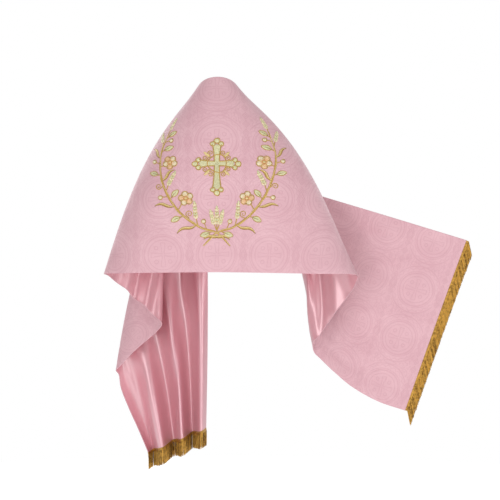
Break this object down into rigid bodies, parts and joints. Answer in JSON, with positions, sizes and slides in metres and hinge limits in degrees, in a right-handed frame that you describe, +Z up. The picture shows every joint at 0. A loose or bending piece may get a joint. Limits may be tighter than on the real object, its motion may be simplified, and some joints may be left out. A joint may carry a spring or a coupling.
{
  "type": "humeral veil",
  "caption": "Long lined damask shoulder veil in its worn shape: smooth back panel, one end cascading in front, the other drawn out sideways, bullion fringe on both ends.",
  "frame": {"origin": "centre of the wearer's neck, 30 mm below the top edge of the cloth at the nape", "axes": "+Z up, -Y out of the wearer's back, +X towards the wearer's right"},
  "size_m": [1.0906, 0.3846, 1.1731],
  "materials": {
    "damask": "tone-on-tone figured damask, soft sheen",
    "satin_lining": "plain satin, glossy",
    "gold_bullion": "twisted old-gold metallic cord",
    "gold_embroidery": "satin-stitched metallic gold and pastel thread"
  },
  "bodies": {
    "root": {"face_left_front": "damask", "face_left_fall": "damask", "face_back": "damask", "face_right_turn": "damask", "face_right_wing": "damask", "lining_left_front": "satin_lining", "lining_left_fall": "satin_lining", "lining_back": "satin_lining", "lining_right_turn": "satin_lining", "lining_right_wing": "satin_lining", "fringe_left": "gold_bullion", "fringe_right": "gold_bullion"}
  },
  "joints": []
}
